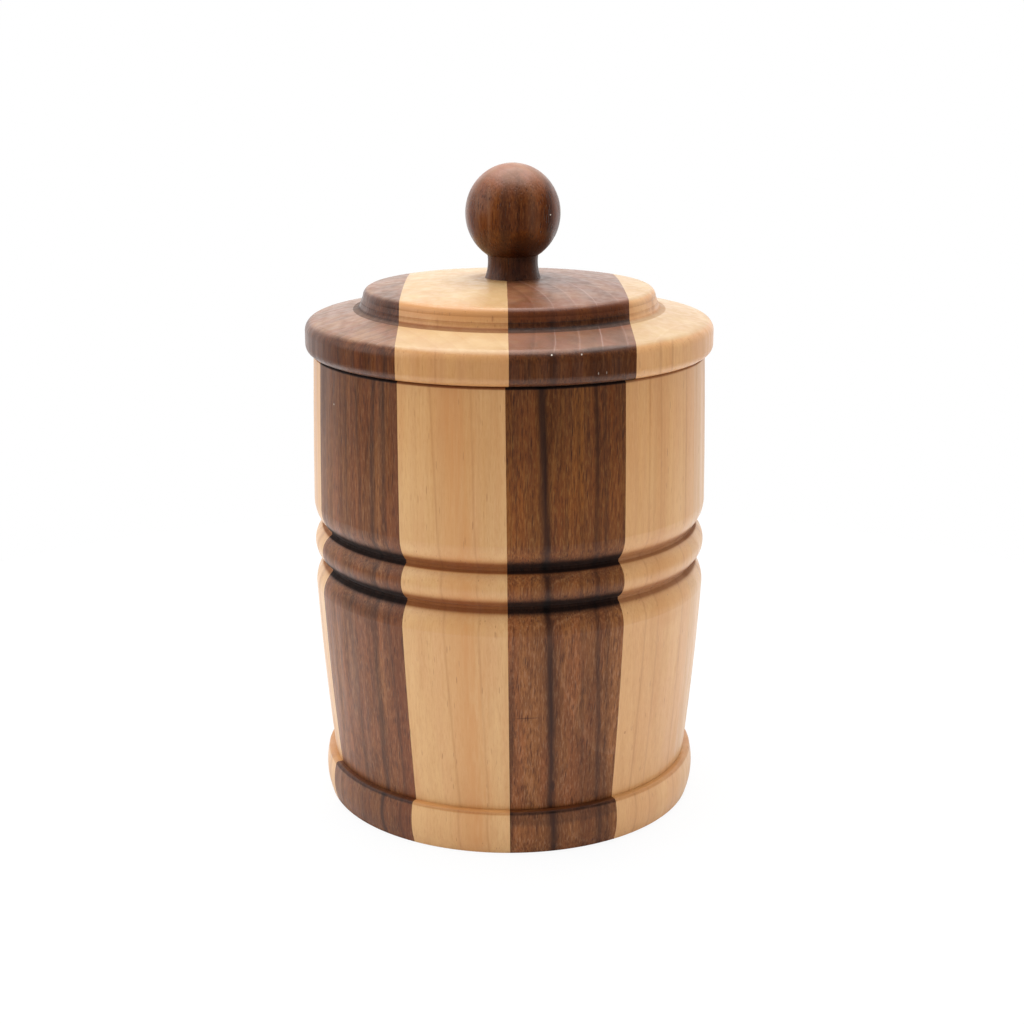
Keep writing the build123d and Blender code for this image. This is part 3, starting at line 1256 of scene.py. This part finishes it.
@dataclass
class Lid(Woodwork):
    """The four boards of the lid.

    Attributes:
        ring_widths: Width of the year rings in each board, from left to right.
    """

    ring_widths: tuple[float, ...] = (3.4, 4.76, 6.8, 4.76)

    def boards(self) -> list[Board]:
        """List the boards.

        Returns:
            The boards from left to right.
        """
        left, middle_left, middle_right, right = self.ring_widths
        return [
            Board(
                "lid_board_1", WALNUT, 0.0, pith=(-90.0, 60.0), ring_width=left,
                bands=(Band(-31.6, 0.5, 0.6, wander=0.3), Band(-44.2, 0.6, 0.55), Band(-36.5, 0.7, 0.4)),
                spots=(Spot(-32.0, 144.6, 6.0, 2.4, 0.25),),  # the side of the step
                # Its top paler and greyer: partly its end grain, partly painted sheen
                tint=(0.64, 0.52, 0.32), end_and_top_light_tint=(1.32, 2.0, 4.1), hollow_shade_strength=0.5,
                shine=0.35, seed=31,
            ),
            Board(
                "lid_board_2", MAPLE, 0.0, pith=(-104.0, -90.0), ring_width=middle_left,
                bands=(Band(-18.4, 0.25, 0.55, wander=0.3),),
                spots=(
                    Spot(-15.0, 144.3, 24.0, 2.1, 0.8, Tone.WARM),  # the side of the step
                    Spot(-4.2, 143.2, 0.3, 0.9, 0.8),
                    Spot(-3.6, 141.6, 0.2, 0.5, 0.7),
                ),
                tint=(0.89, 0.83, 0.74), end_and_top_light_tint=(0.86, 1.01, 1.17), seed=32,
            ),
            Board(
                "lid_board_3", WALNUT, 0.0, pith=(-70.0, -45.0), ring_width=middle_right,
                bands=(Band(10.9, 1.0, 0.8, wander=0.6), Band(21.5, 0.6, 0.4)),
                spots=(
                    # Pale specks painted as glints
                    Spot(10.6, 136.6, 0.26, 0.24, 0.9, Tone.GLINT),
                    Spot(18.1, 136.4, 0.22, 0.22, 0.7, Tone.GLINT),
                    Spot(22.4, 131.4, 0.16, 0.4, 0.35, Tone.GLINT),
                    Spot(24.5, 131.4, 0.16, 0.5, 0.25, Tone.GLINT),
                    Spot(24.0, 137.2, 9.0, 0.6, 0.6),
                    Spot(14.0, 144.5, 40.0, 2.2, 0.4, Tone.WARM),  # the side of the step
                ),
                # Its top paler and greyer: partly its end grain, partly painted sheen
                tint=(0.56, 0.47, 0.28), end_and_top_light_tint=(1.12, 1.43, 2.5), hollow_shade_strength=0.65,
                shine=0.35, seed=33,
            ),
            Board(
                "lid_board_4", MAPLE, 0.0, pith=(110.0, -60.0), ring_width=right,
                bands=(Band(38.8, 0.3, 0.45), Band(42.1, 0.3, 0.45)),
                tint=(1.03, 1.0, 1.0), end_and_top_light_tint=(0.82, 0.97, 1.14), hollow_shade_strength=0.4, seed=34,
            ),
        ]


@dataclass
class Knob(Woodwork):
    """The turned ball knob.

    Attributes:
        ring_width: Width of its year rings.
    """

    ring_width: float = 3.2

    def boards(self) -> list[Board]:
        """List the one piece of wood that the knob is turned from.

        Returns:
            The piece.
        """
        return [
            Board(
                "lid_knob", PLAIN_WALNUT, 0.0, pith=(30.0, 25.0), ring_width=self.ring_width,
                bands=(
                    Band(6.6, 1.5, 0.22, Tone.PALE, wander=0.4),
                    # Pale streaks on the left: partly its grain, partly painted sheen of the light from the
                    # left
                    Band(-8.6, 0.9, 0.22, Tone.PALE, wander=0.6),
                    Band(-5.6, 0.4, 0.25, Tone.PALE, wander=0.6),
                    Band(-11.4, 0.5, 0.22, Tone.PALE, wander=0.3),
                    # A dark streak on the right: partly its grain, partly painted shade on that side
                    Band(10.6, 1.2, 0.8, wander=0.3),
                    Band(-1.6, 1.1, 0.35, wander=0.8),
                    Band(2.4, 0.6, 0.40, wander=0.6),
                ),
                spots=(
                    # A pale speck painted as a glint
                    Spot(11.1, 166.2, 0.22, 0.22, 0.8, Tone.GLINT),
                    # Painted shade on the underside of the ball
                    Spot(5.0, 156.5, 6.0, 5.0, 0.6),  # the underside of the ball
                    Spot(1.8, 155.6, 0.7, 0.4, 0.6),
                ),
                # Its top paler and greyer: partly end grain, partly a painted sheen of the lamp above,
                # carried far down the ball
                tint=(0.76, 0.58, 0.24), end_and_top_light_tint=(1.6, 2.2, 4.6), end_from=0.3,
                shine=0.32, roughness=0.33, relief=0.2, seed=40,
            ),
        ]


@dataclass(frozen=True)
class Softbox:
    """A soft area lamp that looks at the jar.

    Attributes:
        name: Its name.
        place: Where it hangs, in metres.
        size: Its width and height, in metres.
        power: Its power, in watts.
    """

    name: str
    place: Point
    size: Pair
    power: float


@dataclass
class Studio:
    """Floor, lamps, surroundings and camera.

    Attributes:
        floor_radius: Radius of the pale floor.
        floor_edges: How many straight edges stand for its round one.
        floor_colour: Its colour under the lamps.
        floor_white: Share of pure white in what the camera sees of it.
        aim: What the lamps look at, in metres.
        camera_place: Where the camera stands.
        camera_down: How far it looks down.
        focal_pixels: Its focal length in pixels of the picture.
        picture_pixels: Width of the picture.
        sensor: Width of the camera's sensor.
        nearest: Least distance that the camera sees, in metres.
        shed: Light that the surroundings shed from the camera's side and from behind.
        shed_turning: Headings between which it changes, from -1, the camera's side, to 1, behind.
        glow: Their brightness on those sides as the wood mirrors it.
        glow_turning: Headings between which that changes.
        lamps: The softboxes.
    """

    floor_radius: float = 300.0
    floor_edges: int = 96
    floor_colour: Colour = (0.86, 0.86, 0.86)
    floor_white: float = 0.9
    aim: Point = (0.0, 0.0, 0.08)
    camera_place: Point = (0.76, -484.6, 215.9)
    camera_down: float = 15.555
    focal_pixels: float = 1757.7
    picture_pixels: float = 1024.0
    sensor: float = 36.0
    nearest: float = 0.01
    shed: Pair = (0.85, 1.10)
    shed_turning: Pair = (-0.4, 0.6)
    glow: Pair = (0.0, 1.45)
    glow_turning: Pair = (0.0, 1.0)
    lamps: tuple[Softbox, ...] = (
        Softbox("overhead", (0.0, 0.18, 1.0), (1.0, 0.9), 10.0),
        Softbox("window", (-0.9, -0.1, 0.55), (0.8, 0.8), 3.2),
    )

    def build(self) -> None:
        """Set everything up round the jar."""
        self.floor()
        self.surroundings()
        for lamp in self.lamps:
            self.lamp(lamp)
        self.camera()
        bpy.context.scene.view_settings.view_transform = "Standard"

    def floor(self) -> None:
        """Lay a pale round floor that a camera sees as white with a faint shadow."""
        mesh = bpy.data.meshes.new("floor")
        shape = bmesh.new()
        radius = self.floor_radius * MM
        bmesh.ops.create_circle(shape, cap_ends=True, radius=radius, segments=self.floor_edges)
        shape.to_mesh(mesh)
        shape.free()
        plate = bpy.data.objects.new("floor", mesh)
        bpy.context.scene.collection.objects.link(plate)
        material = bpy.data.materials.new("floor_white")
        wiring = Wiring.afresh(material)
        diffuse = wiring.node("ShaderNodeBsdfDiffuse")
        wiring.feed(diffuse.inputs["Color"], self.floor_colour)
        glow = wiring.node("ShaderNodeEmission")
        direct = wiring.node("ShaderNodeLightPath").outputs["Is Camera Ray"]
        seen = wiring.maths("MULTIPLY", direct, self.floor_white)
        mix = wiring.node("ShaderNodeMixShader")
        for socket, value in zip(mix.inputs, (seen, diffuse.outputs["BSDF"], glow.outputs["Emission"])):
            wiring.feed(socket, value)
        output = wiring.node("ShaderNodeOutputMaterial")
        wiring.feed(output.inputs["Surface"], mix.outputs["Shader"])
        mesh.materials.append(material)

    def surroundings(self) -> None:
        """Surround the jar with white, dimmer for the light that it sheds than for what is seen of it."""
        world = bpy.data.worlds.new("studio")
        bpy.context.scene.world = world
        wiring = Wiring.afresh(world)
        path = wiring.node("ShaderNodeLightPath").outputs
        heading = wiring.axes(wiring.node("ShaderNodeTexCoord").outputs["Generated"])["Y"]
        direct = wiring.maths("MAXIMUM", path["Is Camera Ray"], path["Is Transmission Ray"])
        seen = wiring.maths("MAXIMUM", direct, path["Is Glossy Ray"])
        glow = wiring.remap(heading, *self.glow_turning, *self.glow)
        mirrored = wiring.maths("MULTIPLY", path["Is Glossy Ray"], glow)
        unseen = wiring.maths("SUBTRACT", 1.0, seen)
        shed = wiring.maths("MULTIPLY", unseen, wiring.remap(heading, *self.shed_turning, *self.shed))
        white = wiring.node("ShaderNodeBackground")
        wiring.feed(white.inputs["Strength"], wiring.total("ADD", [direct, mirrored, shed]))
        wiring.feed(white.inputs["Color"], (1.0, 1.0, 1.0))
        output = wiring.node("ShaderNodeOutputWorld")
        wiring.feed(output.inputs["Surface"], white.outputs["Background"])

    def lamp(self, lamp: Softbox) -> None:
        """Hang one softbox.

        Args:
            lamp: The softbox.
        """
        light = bpy.data.lights.new(lamp.name, "AREA")
        light.shape = "RECTANGLE"
        light.size, light.size_y = lamp.size
        light.energy = lamp.power
        hung = bpy.data.objects.new(lamp.name, light)
        bpy.context.scene.collection.objects.link(hung)
        hung.location = lamp.place
        hung.rotation_euler = (Vector(self.aim) - Vector(lamp.place)).to_track_quat("-Z", "Y").to_euler()

    def camera(self) -> None:
        """Stand the camera where the picture was taken from."""
        lens = bpy.data.cameras.new("camera")
        lens.sensor_width = self.sensor
        lens.lens = self.focal_pixels * self.sensor / self.picture_pixels
        lens.clip_start = self.nearest
        stand = bpy.data.objects.new("camera", lens)
        stand.location = [length * MM for length in self.camera_place]
        stand.rotation_euler = (math.radians(90.0 - self.camera_down), 0.0, 0.0)
        bpy.context.scene.collection.objects.link(stand)
        bpy.context.scene.camera = stand


def main() -> None:
    """Build the jar's looks and the studio."""
    logging.basicConfig(level=logging.INFO, format="%(name)s: %(message)s")
    workshop = Workshop()
    for woodwork in (JarWall(), JarFloor(), Lid(), Knob()):
        woodwork.build(workshop)
    Studio().build()


if __name__ == "__main__":
    main()
